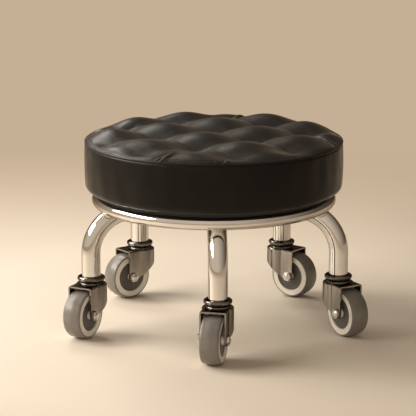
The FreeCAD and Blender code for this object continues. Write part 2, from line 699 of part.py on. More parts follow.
def make_fork():
    """A pressed fork about its swivel axis, with the wheel towards +X."""
    body = new_body("fork")
    pad(body, fork_plan(body, "plan", CHEEK_OUT, FORK_REAR, FORK_FRONT), "block", PLATE_TOP)
    boss = circles(body, "boss", "XZ", "caster_trail", AXLE_Z, ["axle_boss_diameter / 2"])
    pad(body, boss, "bosses", f"2 * {NUT_SEAT}", both_ways=True)
    inner = fork_plan(body, "inner", CHEEK_IN, f"({FORK_REAR} - fork_sheet)", f"{FORK_FRONT} + cut_overrun")
    pocket(body, inner, "hollow", PLATE_UNDER, upwards=True)
    pocket(body, fork_side(body), "slant", f"2 * {FORK_REAR} + 2 * cut_overrun", both_ways=True)

    shoulder = f"{RACE_TOP} - race_edge_radius"
    race = [
        ("0", PLATE_UNDER), (RACE_R, PLATE_UNDER), (RACE_R, shoulder),
        (f"{RACE_R} - race_edge_radius", RACE_TOP), ("0", RACE_TOP),
    ]
    section = outline(body, "raised", "XZ", race, {2: ("race_edge_radius", "left")})
    turned(body, "Revolution", section, "raised_race")
    ball_groove(body)
    stem_hole = circles(body, "stem", "XY", "0", "0", [f"{STEM_R} + running_clearance"])
    pocket(body, stem_hole, "stem_hole", f"{RACE_TOP} + cut_overrun", upwards=True)
    axle = circles(body, "axle", "XZ", "caster_trail", AXLE_Z, ["axle_diameter / 2 + fit_clearance"])
    holes = pocket(body, axle, "axle_holes", f"2 * {NUT_SEAT} + 2 * cut_overrun", both_ways=True)
    doc.recompute()

    rounded = body.newObject("PartDesign::Fillet", "fork_top_edge")
    rounded.Base = (holes, outer_top_edges(holes.Shape))
    bind(rounded, Radius="fork_edge_radius")
    return body


def fork_side(body):
    """What is cut away below the slanted lower edge of the rear skirt and the round cheek ends."""
    sketch = new_sketch(body, "side", "XZ")
    low = "-cut_overrun"
    rear = f"-({FORK_REAR} + cut_overrun)"
    front = f"{FORK_FRONT} + cut_overrun"
    skirt = f"{PLATE_TOP} - fork_rear_depth"
    middle = FreeCAD.Vector(value("caster_trail"), value(AXLE_Z), 0)
    radius = value("cheek_end_radius")
    back = FreeCAD.Vector(value(rear), value(skirt), 0)
    away = back - middle
    touch_angle = math.atan2(away.y, away.x) + math.acos(radius / away.Length)
    touch = middle + FreeCAD.Vector(math.cos(touch_angle), math.sin(touch_angle), 0) * radius
    nose = middle + FreeCAD.Vector(radius, 0, 0)
    corners = [
        back, FreeCAD.Vector(value(rear), value(low), 0), FreeCAD.Vector(value(front), value(low), 0),
        FreeCAD.Vector(value(front), middle.y, 0), nose,
    ]
    for start, end in zip(corners, corners[1:]):
        sketch.addGeometry(Part.LineSegment(start, end), False)
    sketch.addGeometry(arc_between(nose, touch, radius, "right"), False)
    sketch.addGeometry(Part.LineSegment(touch, back), False)
    for number, (x, y) in enumerate([(rear, skirt), (rear, low), (front, low), (front, AXLE_Z)]):
        fix_point(sketch, number, 1, x, y)
    for number in range(3):
        sketch.addConstraint(Sketcher.Constraint("Coincident", number, 2, number + 1, 1))
    fix_point(sketch, 4, 3, "caster_trail", AXLE_Z)
    fix_point(sketch, 3, 2, FORK_FRONT, AXLE_Z)
    sketch.addConstraint(Sketcher.Constraint("Coincident", 3, 2, 4, 2))
    sketch.addConstraint(Sketcher.Constraint("Tangent", 4, 1, 5, 1))
    sketch.addConstraint(Sketcher.Constraint("Coincident", 5, 2, 0, 1))
    return sketch


def outer_top_edges(shape):
    """Names of the edges round the fork's top plate, but not the square front end."""
    top = value(PLATE_TOP)
    front = value(FORK_FRONT)
    inside = value(RACE_R)
    near = value("fit_clearance")
    names = []
    for number, edge in enumerate(shape.Edges, start=1):
        box = edge.BoundBox
        level = abs(box.ZMin - top) < near and abs(box.ZMax - top) < near
        at_front = abs(box.XMin - front) < near
        at_race = all(math.hypot(v.X, v.Y) < inside + near for v in edge.Vertexes)
        if level and not at_front and not at_race:
            names.append(f"Edge{number}")
    return names


def hex_head(body, side):
    """A domed hexagon outside one fork cheek; side is the cheek's direction along Y."""
    corner = f"nut_across_flats / {2 * math.cos(math.pi / HEX_SIDES)}"
    corners = []
    for number in range(HEX_SIDES):
        angle = 2 * math.pi * number / HEX_SIDES
        corners.append((f"{corner} * {math.cos(angle)}", f"{corner} * {math.sin(angle)}"))
    corners = [(x, "0" if number % (HEX_SIDES // 2) == 0 else y) for number, (x, y) in enumerate(corners)]
    lift = NUT_SEAT if side < 0 else f"-{NUT_SEAT}"
    pad(body, outline(body, "hexagon", "XZ", corners, None, lift), "head", "nut_height", backwards=side > 0)
    edge = "nut_across_flats / 2 * nut_dome_share"
    dome = f"(({edge}) ^ 2 + nut_dome ^ 2) / (2 * nut_dome)"
    sign = "" if side > 0 else "-"
    profile = [("0", f"{sign}{NUT_FACE}"), (edge, f"{sign}{NUT_FACE}"), ("0", f"{sign}{NUT_END}")]
    arcs = {1: (dome, "left" if side > 0 else "right")}
    turned(body, "Revolution", outline(body, "dome", "XY", profile, arcs), "cap")


def make_axle():
    """Bolt, nut and sleeve about the axle, which lies along Y through the wheel's middle."""
    bolt = new_body("bolt")
    hex_head(bolt, -1)
    shank = circles(bolt, "shank", "XZ", "0", "0", ["axle_diameter / 2"], NUT_SEAT)
    pad(bolt, shank, "shank_rod", f"{NUT_SEAT} + {BOLT_END}", backwards=True)
    nut = new_body("nut")
    hex_head(nut, 1)
    bore = circles(nut, "bore", "XZ", "0", "0", ["axle_diameter / 2 + fit_clearance"], f"-{NUT_SEAT}")
    pocket(nut, bore, "thread", "nut_height + fit_clearance")
    inner = "axle_diameter / 2 + fit_clearance"
    outer = "sleeve_diameter / 2"
    sleeve = revolved("sleeve", [
        (inner, f"-{CHEEK_IN}"), (outer, f"-{CHEEK_IN}"), (outer, CHEEK_IN), (inner, CHEEK_IN),
    ], plane="XY")
    return {"axle_bolt": bolt, "axle_nut": nut, "axle_sleeve": sleeve}


def make_wheel():
    """Tread, core and cover disc about the axle, which lies along Y."""
    radius = "wheel_diameter / 2"
    round_off = "tyre_shoulder_radius"
    half = f"({RIM_HALF} + tyre_bulge)"
    inner = f"{RIM_R} + fit_clearance"
    tyre = revolved("tread", [
        (inner, f"-{half}"), (f"{radius} - {round_off}", f"-{half}"), (radius, f"-({half} - {round_off})"),
        (radius, f"{half} - {round_off}"), (f"{radius} - {round_off}", half), (inner, half),
    ], {1: (round_off, "left"), 3: (round_off, "left")}, plane="XY")

    bore = "sleeve_diameter / 2 + running_clearance"
    boss = "wheel_boss_diameter / 2"
    boss_end = f"({CHEEK_IN} - hub_gap)"
    floor = f"({RIM_HALF} - cap_recess - cap_thickness)"
    cap = "cap_diameter / 2"
    side = [
        (bore, boss_end), (boss, boss_end), (boss, floor), (cap, floor), (cap, RIM_HALF), (RIM_R, RIM_HALF),
    ]
    mirrored = [(x, f"-{y}") for x, y in reversed(side)]
    core = revolved("core", side + mirrored, plane="XY")

    cap_in = f"{boss} + fit_clearance"
    cap_out = f"{cap} - fit_clearance"
    face = f"{floor} + cap_thickness"
    disc = revolved("cap", [(cap_in, floor), (cap_out, floor), (cap_out, face), (cap_in, face)], plane="XY")
    return {"tyre": tyre, "wheel_core": core}, disc


def make_casters():
    fork = make_fork()
    turning = make_axle()
    wheel, disc = make_wheel()
    nodes = []
    for number in legs():
        nodes.append(at_caster(f"fork_{number}", fork, number))
        for name, pattern in {**turning, **wheel}.items():
            nodes.append(at_caster(f"{name}_{number}", pattern, number, on_axle=True))
        discs = [
            at_caster(f"wheel_cap_{number}_{side}", disc, number, on_axle=True, half_turn=side == "far")
            for side in ("near", "far")
        ]
        nodes.append(group(f"wheel_caps_{number}", discs))
    return nodes


def build():
    form = mound_loft()
    nodes = [make_top_cover(form), make_foam(form), make_side_band()]
    welt_middle = f"{SEAT_R} + welt_stand - welt_diameter / 2"
    nodes.append(torus("seat_welt", welt_middle, "welt_diameter / 2", SEAM))
    nodes += make_boards()
    nodes += make_seat_fasteners()
    nodes.append(make_ring())
    nodes.append(make_tabs())
    leg = make_leg()
    nodes += [at_angle(f"leg_tube_{number}", leg, leg_angle(number)) for number in legs()]
    nodes += make_hub()
    nodes += make_swivels()
    nodes += make_casters()
    doc.recompute()
    return nodes


def faults(nodes):
    """What failed to compute, and which sub-parts have no sound shape."""
    failed = [o.Label for o in doc.Objects if {"Invalid", "Error"} & set(o.State)]
    unsound = [n.Label for n in nodes if n.Shape.isNull() or not n.Shape.isValid() or not n.Shape.Solids]
    return failed + unsound


nodes = build()
problems = faults(nodes)
if problems:
    raise RuntimeError(f"these objects failed: {problems}")
os.makedirs("parts", exist_ok=True)
for node in nodes:
    node.Shape.exportStep(f"parts/{node.Label}.step")
print(f"{len(nodes)} nodes, {sum(len(n.Shape.Solids) for n in nodes)} solids")
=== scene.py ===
"""Looks of a low rolling stool around its CAD frame: tufted leather cushion, chrome, casters and a studio."""
import json
import math

import bmesh
import bpy
import numpy as np
from mathutils import Matrix, Vector


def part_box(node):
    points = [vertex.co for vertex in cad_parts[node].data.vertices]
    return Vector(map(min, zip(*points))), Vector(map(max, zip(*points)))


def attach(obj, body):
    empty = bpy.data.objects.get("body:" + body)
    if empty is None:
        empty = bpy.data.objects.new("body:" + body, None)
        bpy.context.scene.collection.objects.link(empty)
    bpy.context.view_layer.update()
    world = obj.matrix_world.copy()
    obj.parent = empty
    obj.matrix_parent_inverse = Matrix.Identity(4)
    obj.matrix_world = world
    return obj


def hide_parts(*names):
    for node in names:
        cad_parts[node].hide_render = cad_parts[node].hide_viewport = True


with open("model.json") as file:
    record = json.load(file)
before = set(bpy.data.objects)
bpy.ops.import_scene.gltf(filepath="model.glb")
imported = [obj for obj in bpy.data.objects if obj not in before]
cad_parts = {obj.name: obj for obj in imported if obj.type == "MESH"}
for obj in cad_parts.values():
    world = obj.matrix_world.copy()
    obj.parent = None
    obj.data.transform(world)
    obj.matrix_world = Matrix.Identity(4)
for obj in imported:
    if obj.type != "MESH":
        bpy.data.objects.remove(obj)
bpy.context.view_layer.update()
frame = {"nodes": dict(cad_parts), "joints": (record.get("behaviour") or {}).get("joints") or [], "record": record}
nodes = frame["nodes"]
LEGS = range(1, 6)
FULL_TURN = 2 * math.pi
TINY = 1e-9

# Sizes in metres, most of them read from the CAD solids that the pieces stand for.
band_low, band_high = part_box("seat_side_band")
welt_low, welt_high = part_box("seat_welt")
SEAT_R = band_high.x
BASE_Z = band_low.z
SEAM_Z = (welt_low.z + welt_high.z) / 2
PEAK_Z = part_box("seat_top_cover")[1].z
CUSHION_ROOM = 0.0005
CUSHION_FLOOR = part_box("seat_board")[1].z + CUSHION_ROOM
RING_LOW, RING_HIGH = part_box("frame_ring")
RING_TUBE = (RING_HIGH.z - RING_LOW.z) / 2
RING_R = RING_HIGH.x - RING_TUBE
RING_Z = (RING_HIGH.z + RING_LOW.z) / 2

# The tufted top: one mound in the middle row, the steps to its neighbours, and how it swells.
TUFT_MIDDLE = (-0.0140, -0.0290)
TUFT_STEP_A = (0.0754, 0.0414)
TUFT_STEP_B = (-0.0515, 0.0694)
TUFT_DEPTH = 0.0180
VALLEY_EDGE = 0.55
VALLEY_FADE = 1.5
# Mounds at the rim that stand lower than the rest, by their place in the two rows.
LOW_MOUNDS = {(-1, -1): 0.0095, (0, -2): 0.0140, (-1, 0): 0.0020, (1, -2): 0.0100, (-2, 0): 0.0090}
# Small swellings at the rim beside the pleats: place, reach and height.
RISES = (
    ((-0.034, -0.149), 0.021, 0.0045),
    ((0.155, -0.020), 0.017, 0.0045),
    ((0.020, 0.148), 0.020, 0.0050),
    ((-0.154, 0.036), 0.016, 0.0020),
)
# The rounded edge of the top, and how far the valleys along it are filled.
SHOULDER = 0.044
SHOULDER_FULLNESS = 0.78
RUN_OUT = 0.75
TOP_LIFT = 0.0016
RIM_INSET = 0.0012
RIM = SEAT_R - RIM_INSET
TOP_PUCKER = 0.00009
TOP_PUCKER_REACH = 0.010
# The mesh of the top: close rings near the rim hold the grooves of the stitches.
TOP_SECTORS = 720
TOP_RINGS = 96
RIM_RINGS = 34
RIM_WIDTH = 0.009
# The edge turned in at the seam: how far in from the rim and below the seam.
TUCK = ((0.0010, 0.0006), (0.0042, 0.0030))
TUCK_FOOT = 0.0052

# The twin rows of stitches along the seam: how far in they run and the groove that each lies in.
STITCHES = 300
STITCH_ROWS = (0.0030, 0.0060)
GROOVE_DEPTH = 0.00045
GROOVE_HALF = 0.00055
THREAD = 0.00028
THREAD_SHARE = 0.66
THREAD_SIDES = 6
THREAD_PARTS = 5
THREAD_END = 0.55
THREAD_RISE = 0.9
THREAD_RISE_POWER = 0.6
THREAD_SINK = 0.35

# Pleats: inner end, outer end at the seam, and how strongly the fold stands.
PLEATS = (
    ((-0.050, -0.112), (-0.0765, -0.1550), 1.3),
    ((0.008, -0.150), (0.0050, -0.1725), 0.28),
    ((0.121, -0.010), (0.1580, -0.0670), 0.8),
    ((-0.131, 0.050), (-0.1710, 0.0200), 1.2),
    ((0.036, 0.120), (0.0510, 0.1640), 0.6),
    ((0.112, 0.088), (0.1355, 0.1065), 0.7),
    ((-0.074, 0.122), (-0.0885, 0.1480), 0.7),
)
# Across a pleat: the height, distance to the side and width of its groove, its lip and the hollow beside it.
PLEAT_FOLD = ((-0.0044, 0.0, 0.0015), (0.0017, 0.0038, 0.0034), (-0.0012, -0.0055, 0.0055))
PLEAT_BOW = 0.0022
PLEAT_FADE_IN = 0.55
PLEAT_FADE_POWER = 1.5
PLEAT_END = 1.10
PLEAT_FADE_OUT = 0.35

# The side band: its cloth, its form and the points of its section.
COVER = 0.0014
BAND_CORNER = 0.009
BAND_HEM = 0.024
BAND_BULGE = 0.0009
BAND_BULGE_POWER = 0.8
BAND_TUCK = 0.0006
BAND_SECTORS = 900
WALL_POINTS = 26
CORNER_POINTS = 12
HEM_POINTS = 9
# The band's soft surface: swellings, puckers near the seam, folds of the hem, and how they fade at the edges.
BAND_SOFT = 0.00022
BAND_PUCKER = 0.00016
BAND_PUCKER_REACH = 0.10
BAND_FADE_END = 1.02
BAND_FADE_POWER = 0.25
HEM_FOLDS = 0.00035
HEM_FOLD_LEVEL = 1.2
# The upright join at the back of the band: a groove between two low ridges.
JOIN_ANGLE = math.radians(97)
JOIN_DEPTH = 0.0011
JOIN_HALF = 0.0011
JOIN_RIDGE = 0.0004
JOIN_RIDGE_ASIDE = 0.0035
JOIN_RIDGE_HALF = 0.0018
JOIN_FADE = 1.5

# The seam cord: its section against the CAD cord's and how far the stitches draw it in.
CORD_SIDES = 12
CORD_WIDE = 0.94
CORD_HIGH = 1.02
CORD_DRAW = 0.00007
CORD_WAVER = 0.00005
CORD_STEPS = 4 * STITCHES

# Ripples: how many waves add up, the spread of their starts and slants, and each kind's seed and wave counts.
RIPPLE_COUNT = 9
RIPPLE_STARTS = 6.28
RIPPLE_SLANT = 60
TOP_WAVES = {"seed": 3, "low": 40, "high": 110}
BAND_WAVES = {"seed": 5, "low": 4, "high": 40}
SEAM_WAVES = {"seed": 6, "low": 60, "high": 140}
HEM_WAVES = {"seed": 8, "low": 30, "high": 70}
CORD_WAVES = {"seed": 11, "low": 4, "high": 40}
LEVEL = 0.0

# The treads.
TREAD_HALF = 0.0129
TREAD_BORE = 0.02895
TREAD_SHOULDER = 0.0062
TREAD_CROWN = 0.0008
TREAD_LIP = 0.0004
TREAD_SECTORS = 96
SHOULDER_POINTS = 9
FACE_POINTS = 15
MOULD_LINE = 0.00012
MOULD_LINE_HALF = 0.0005

# The weld beads: where the ring and the leg are this far apart, a rippled bead fills the groove.
WELD_GAP = 0.0014
WELD_START = 0.0005
WELD_STEP = 0.0001
WELD_REACH = 0.016
WELD_SIZE = 0.00125
WELD_RIPPLE = 0.12
WELD_RIPPLES = 21
WELD_POINTS = 84
WELD_SIDES = 8


def add_mesh(name, points, faces):
    """A smooth mesh in the scene, with its faces turned outwards."""
    mesh = bpy.data.meshes.new(name)
    mesh.from_pydata([tuple(p) for p in points], [], faces)
    shape = bmesh.new()
    shape.from_mesh(mesh)
    bmesh.ops.recalc_face_normals(shape, faces=shape.faces)
    shape.to_mesh(mesh)
    shape.free()
    mesh.polygons.foreach_set("use_smooth", [True] * len(mesh.polygons))
    made = bpy.data.objects.new(name, mesh)
    bpy.context.scene.collection.objects.link(made)
    return made


def grid_faces(rings, sectors, start=0, closed_rings=False):
    """Quads of a grid of rings that each close on themselves."""
    faces = []
    for ring in range(rings if closed_rings else rings - 1):
        here = start + ring * sectors
        there = start + (ring + 1) % rings * sectors
        for i in range(sectors):
            j = (i + 1) % sectors
            faces.append((here + i, here + j, there + j, there + i))
    return faces


def ring_points(radius, height, angle):
    """Points round Z at each angle; radius and height are numbers or one value for each angle."""
    return np.stack([radius * np.cos(angle), radius * np.sin(angle), height + 0 * angle], axis=-1)


def bell(distance, width):
    """1 in the middle and about a third at the width."""
    return np.exp(-(distance / width) ** 2)


def ripples(angle, height, seed, low, high):
    """Smooth waves round the seat, always the same ones for a seed, about -1 to 1."""
    rng = np.random.default_rng(seed)
    total = np.zeros(np.broadcast(angle, height).shape)
    for _ in range(RIPPLE_COUNT):
        waves = rng.integers(low, high)
        start = rng.uniform(0, RIPPLE_STARTS)
        slant = rng.uniform(-RIPPLE_SLANT, RIPPLE_SLANT)
        total = total + np.sin(waves * angle + start + height * slant)
    return total / math.sqrt(RIPPLE_COUNT)


def row_height(t, sharp):
    """Height across one row of mounds: 1 on its crest, 0 in the valley, which sharp makes a crease."""
    t = t - np.round(t)
    wave = np.cos(np.pi * t) ** 2
    arch = 1 - (2 * t) ** 2
    return (1 - sharp) * wave + sharp * arch


def run_out(height, x, y, step, edge):
    """Fill the valleys that lie along the rim, so that the outer mounds run out to the seam."""
    away = np.maximum(np.hypot(x, y), TINY)
    along = (x * step[0] + y * step[1]) / (away * math.hypot(*step))
    return height + (1 - height) * RUN_OUT * (1 - edge) * along ** 2


def pleat_rise(x, y, inner, outer, strength):
    """A sewn fold from a tuft to the seam: a sharp groove with a full lip on one side."""
    way = np.array(outer) - np.array(inner)
    length = np.hypot(*way)
    way = way / length
    along = ((x - inner[0]) * way[0] + (y - inner[1]) * way[1]) / length
    bow = PLEAT_BOW * np.sin(np.pi * np.clip(along, 0, 1))
    across = (x - inner[0]) * -way[1] + (y - inner[1]) * way[0] - bow
    grow = np.clip(along / PLEAT_FADE_IN, 0, 1) ** PLEAT_FADE_POWER
    fade = np.clip((PLEAT_END - along) / PLEAT_FADE_OUT, 0, 1)
    fold = sum(height * bell(across - aside, width) for height, aside, width in PLEAT_FOLD)
    return strength * grow * fade * fold


def top_surface(x, y):
    """Height of the tufted top."""
    steps = np.linalg.inv(np.array([TUFT_STEP_A, TUFT_STEP_B]).T)
    dx = x - TUFT_MIDDLE[0]
    dy = y - TUFT_MIDDLE[1]
    u = steps[0, 0] * dx + steps[0, 1] * dy
    v = steps[1, 0] * dx + steps[1, 1] * dy
    inset = RIM - np.hypot(x, y)
    edge = np.clip(inset / SHOULDER, 0, 1)
    sharp = VALLEY_EDGE * np.minimum(1, edge * VALLEY_FADE)
    row_u = row_height(u, sharp)
    row_v = row_height(v, sharp)
    mound_u = run_out(row_u, x, y, TUFT_STEP_A, edge)
    mound_v = run_out(row_v, x, y, TUFT_STEP_B, edge)
    inner = PEAK_Z - TUFT_DEPTH * (1 - (mound_u + mound_v) / 2)
    for (place_u, place_v), drop in LOW_MOUNDS.items():
        there = (np.abs(u - place_u) < 0.5) & (np.abs(v - place_v) < 0.5)
        inner = inner - np.where(there, drop * row_u * row_v, 0)
    foot = SEAM_Z + TOP_LIFT
    rise = (1 - (1 - edge) ** 2) ** SHOULDER_FULLNESS
    z = foot + (inner - foot) * rise
    for (rise_x, rise_y), reach, height in RISES:
        z = z + height * bell(np.hypot(x - rise_x, y - rise_y), reach) * rise
    for inner_end, outer_end, strength in PLEATS:
        z = z + pleat_rise(x, y, inner_end, outer_end, strength)
    for row in STITCH_ROWS:
        z = z - GROOVE_DEPTH * bell(inset - row, GROOVE_HALF)
    waver = ripples(np.arctan2(y, x), LEVEL, **TOP_WAVES)
    return z + bell(inset, TOP_PUCKER_REACH) * TOP_PUCKER * waver


def make_cushion_top():
    """The tufted top as a closed shape, with its edge turned in at the seam."""
    angle = np.linspace(0, FULL_TURN, TOP_SECTORS, endpoint=False)
    fine = RIM - RIM_WIDTH
    wide_rings = np.linspace(0, fine, TOP_RINGS + 1)
    close_rings = np.linspace(fine, RIM, RIM_RINGS + 1)
    radii = np.concatenate([wide_rings[1:], close_rings[1:]])
    grid_r, grid_a = np.meshgrid(radii, angle, indexing="ij")
    x = grid_r * np.cos(grid_a)
    y = grid_r * np.sin(grid_a)
    points = [np.stack([x, y, top_surface(x, y)], axis=-1).reshape(-1, 3)]
    inside = [(RIM - inwards, SEAM_Z - below) for inwards, below in TUCK] + [(RIM - TUCK_FOOT, CUSHION_FLOOR)]
    points += [ring_points(radius, height, angle) for radius, height in inside]
    middle = float(top_surface(np.array(0.0), np.array(0.0)))
    points = np.vstack([*points, [[0, 0, middle], [0, 0, CUSHION_FLOOR]]])
    top, bottom = len(points) - 2, len(points) - 1
    rings = len(radii) + len(inside)
    faces = grid_faces(rings, TOP_SECTORS)
    last = (rings - 1) * TOP_SECTORS
    for i in range(TOP_SECTORS):
        j = (i + 1) % TOP_SECTORS
        faces.append((top, i, j))
        faces.append((bottom, last + j, last + i))
    return add_mesh("cushion_top", points, faces)


def turned_shape(name, profile, sectors, offset):
    """A closed profile of (radius, height) points turned about Z; offset moves points outwards and up."""
    angle = np.linspace(0, FULL_TURN, sectors, endpoint=False)
    points = []
    for index, (radius, height) in enumerate(profile):
        out, up = offset(index, angle, height)
        points.append(ring_points(radius + out, height + up, angle))
    return add_mesh(name, np.concatenate(points), grid_faces(len(profile), sectors, closed_rings=True))


def make_cushion_band():
    """The upright band with its rounded lower edge and the hem turned in under the seat."""
    top = welt_low.z + BAND_TUCK
    bend_r = SEAT_R - BAND_CORNER
    bend_z = BASE_Z + BAND_CORNER
    wall = [(SEAT_R + BAND_BULGE * math.sin(math.pi * s) ** BAND_BULGE_POWER, top + (bend_z - top) * s)
            for s in np.linspace(0, 1, WALL_POINTS)]
    wall[0] = (SEAT_R - BAND_TUCK, top)
    turn = [(bend_r + BAND_CORNER * math.cos(t), bend_z - BAND_CORNER * math.sin(t))
            for t in np.linspace(0, math.pi / 2, CORNER_POINTS)[1:]]
    under = [(bend_r - (BAND_HEM - BAND_CORNER) * s, BASE_Z) for s in np.linspace(0, 1, HEM_POINTS)[1:]]
    outer = wall + turn + under
    inner = [
        (SEAT_R - BAND_HEM, BASE_Z + COVER),
        (bend_r, BASE_Z + COVER),
        (SEAT_R - COVER, bend_z),
        (SEAT_R - COVER - BAND_TUCK, top),
    ]
    skirt = len(wall) + len(turn)

    def soften(index, angle, height):
        if index >= len(outer):
            return 0, 0
        if index >= skirt:
            share = (index - skirt + 1) / len(under)
            folds = HEM_FOLDS * share * (HEM_FOLD_LEVEL - ripples(angle, LEVEL, **HEM_WAVES))
            return 0, np.maximum(0, folds)
        share = 1 - (height - BASE_Z) / (top - BASE_Z)
        soft = BAND_SOFT * ripples(angle, height, **BAND_WAVES)
        waver = ripples(angle, LEVEL, **SEAM_WAVES)
        pucker = BAND_PUCKER * math.exp(-share / BAND_PUCKER_REACH) * waver
        aside = ((angle - JOIN_ANGLE + math.pi) % FULL_TURN - math.pi) * SEAT_R
        join = -JOIN_DEPTH * bell(aside, JOIN_HALF)
        ridge = JOIN_RIDGE * bell(np.abs(aside) - JOIN_RIDGE_ASIDE, JOIN_RIDGE_HALF)
        fade = math.sin(math.pi * min(share * BAND_FADE_END, 1)) ** BAND_FADE_POWER
        return (soft + pucker) * fade + (join + ridge) * min(1, fade * JOIN_FADE), 0

    return turned_shape("cushion_band", outer + inner, BAND_SECTORS, soften)


def make_seam():
    """The cord sewn into the top seam, drawn in a little at every stitch."""
    radius = (welt_high.z - welt_low.z) / 2
    middle = welt_high.x - radius
    profile = [(middle + radius * CORD_WIDE * math.cos(t), SEAM_Z + radius * CORD_HIGH * math.sin(t))
               for t in np.linspace(0, FULL_TURN, CORD_SIDES, endpoint=False)]

    def draw_in(index, angle, height):
        tight = CORD_DRAW * np.cos(angle * STITCHES) + CORD_WAVER * ripples(angle, LEVEL, **CORD_WAVES)
        turn = FULL_TURN * index / CORD_SIDES
        return tight * math.cos(turn), tight * math.sin(turn)

    return turned_shape("cushion_seam", profile, CORD_STEPS, draw_in)


def tube_ring(x, y, z, angle, size, sides):
    """Points of a small round section that stands upright and faces along the turn at an angle about Z."""
    ring = []
    for side in range(sides):
        turn = FULL_TURN * side / sides
        out = size * math.cos(turn)
        ring.append((x + out * math.cos(angle), y + out * math.sin(angle), z + size * math.sin(turn)))
    return ring


def make_stitches(name, radius):
    """A row of sewn stitches round the seat, each a short thread that dips at both ends."""
    points = []
    faces = []
    pitch = FULL_TURN / STITCHES
    for number in range(STITCHES):
        start = len(points)
        for part in range(THREAD_PARTS):
            s = part / (THREAD_PARTS - 1)
            arch = math.sin(math.pi * s)
            angle = number * pitch + (s - 0.5) * pitch * THREAD_SHARE
            x, y = radius * math.cos(angle), radius * math.sin(angle)
            lift = THREAD * (THREAD_RISE * arch ** THREAD_RISE_POWER - THREAD_SINK)
            size = THREAD * (THREAD_END + (1 - THREAD_END) * arch)
            z = float(top_surface(np.array(x), np.array(y))) + lift
            points += tube_ring(x, y, z, angle, size, THREAD_SIDES)
        faces += grid_faces(THREAD_PARTS, THREAD_SIDES, start)
        end = len(points) - THREAD_SIDES
        faces.append(tuple(range(start, start + THREAD_SIDES)))
        faces.append(tuple(range(end, end + THREAD_SIDES)))
    return add_mesh(name, points, faces)


def joint_named(name):
    return next(joint for joint in frame["joints"] if joint["name"] == name)


def make_tyre(number):
    """A tread with a crowned face, round shoulders and a faint mould line, about its axle along local Y."""
    low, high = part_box(f"tyre_{number}")
    edge = (high.z - low.z) / 2 - TREAD_CROWN
    drop = edge - TREAD_BORE - TREAD_LIP
    face = TREAD_HALF - TREAD_SHOULDER
    shoulder = [(edge - drop + drop * math.sin(t), -TREAD_HALF + TREAD_SHOULDER * (1 - math.cos(t)))
                for t in np.linspace(0, math.pi / 2, SHOULDER_POINTS)]
    profile = [(TREAD_BORE, -TREAD_HALF), *shoulder]
    for s in np.linspace(-1, 1, FACE_POINTS)[1:-1]:
        line = MOULD_LINE * math.exp(-(s * face / MOULD_LINE_HALF) ** 2)
        profile.append((edge + (TREAD_CROWN - MOULD_LINE) * (1 - s * s) + line, s * face))
    profile += [(r, -y) for r, y in reversed(shoulder)]
    profile.append((TREAD_BORE, TREAD_HALF))
    turns = [FULL_TURN * i / TREAD_SECTORS for i in range(TREAD_SECTORS)]
    points = [(r * math.cos(turn), y, r * math.sin(turn)) for r, y in profile for turn in turns]
    made = add_mesh(f"tread_{number}", points, grid_faces(len(profile), TREAD_SECTORS, closed_rings=True))
    joint = joint_named(f"wheel_{number}_roll")
    axle = Vector(joint["axis"]).normalized()
    ahead = axle.cross(Vector((0, 0, 1)))
    spot = Matrix((ahead, axle, (0, 0, 1))).transposed().to_4x4()
    spot.translation = Vector(joint["pos_m"])
    made.matrix_world = spot
    return made


def leg_point(number):
    return joint_named(f"caster_{number}_swivel")["pos_m"][:2]


LEG_R = math.hypot(*leg_point(1))
LEG_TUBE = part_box("leg_tube_1")[1].x
LEG_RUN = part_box("leg_tube_1")[1].z - LEG_TUBE
LEG_BEND = 0.055


def ring_under(x, y):
    """Underside of the ring's tube at a point."""
    away = math.hypot(x, y) - RING_R
    return RING_Z - math.sqrt(max(RING_TUBE ** 2 - away ** 2, 0))


def leg_top(x, y):
    """Upper side of the bend of a leg along +X at a point."""
    reach = LEG_BEND + math.sqrt(max(LEG_TUBE ** 2 - y ** 2, 0))
    over = max(x - (LEG_R - LEG_BEND), 0)
    return LEG_RUN - LEG_BEND + math.sqrt(max(reach ** 2 - over ** 2, 0))


def make_weld(number):
    """The weld bead in the groove where a leg's bend carries the ring."""
    points = []
    for i in range(WELD_POINTS):
        turn = FULL_TURN * i / WELD_POINTS
        away = WELD_START
        while away < WELD_REACH:
            x = RING_R + away * math.cos(turn)
            y = away * math.sin(turn)
            if ring_under(x, y) - leg_top(x, y) > WELD_GAP:
                break
            away += WELD_STEP
        z = (ring_under(x, y) + leg_top(x, y)) / 2
        size = WELD_SIZE * (1 + WELD_RIPPLE * math.sin(turn * WELD_RIPPLES + number))
        points += tube_ring(x, y, z, turn, size, WELD_SIDES)
    made = add_mesh(f"weld_{number}", points, grid_faces(WELD_POINTS, WELD_SIDES, closed_rings=True))
    x, y = leg_point(number)
    made.data.transform(Matrix.Rotation(math.atan2(y, x), 4, "Z"))
    return made


def fill_sockets(tree, node, inputs):
    """Set a shader node's inputs; one that is another node's socket is linked."""
    for name, value in inputs.items():
        socket = node.inputs[name.replace("_", " ")]
        if isinstance(value, bpy.types.NodeSocket):
            tree.links.new(value, socket)
        else:
            socket.default_value = value


def add(tree, kind, settings=None, **inputs):
    """A shader node with its settings and inputs."""
    node = tree.nodes.new(kind)
    for name, setting in (settings or {}).items():
        setattr(node, name, setting)
    fill_sockets(tree, node, inputs)
    return node


def calculate(tree, kind, operation, first, second=None):
    """A math or vector math node; its two inputs go by number."""
    node = add(tree, kind, {"operation": operation})
    tree.links.new(first, node.inputs[0])
    if second:
        tree.links.new(second, node.inputs[1])
    return node


def own_place(tree):
    """Places in the piece's own metres."""
    return add(tree, "ShaderNodeTexCoord").outputs["Object"]


def noise(tree, scale, detail=3.0, rough=0.5, stretch=None):
    where = own_place(tree)
    if stretch:
        where = add(tree, "ShaderNodeMapping", Vector=where, Scale=stretch).outputs["Vector"]
    made = add(tree, "ShaderNodeTexNoise", Vector=where, Scale=scale, Detail=detail, Roughness=rough)
    return made.outputs["Fac"]


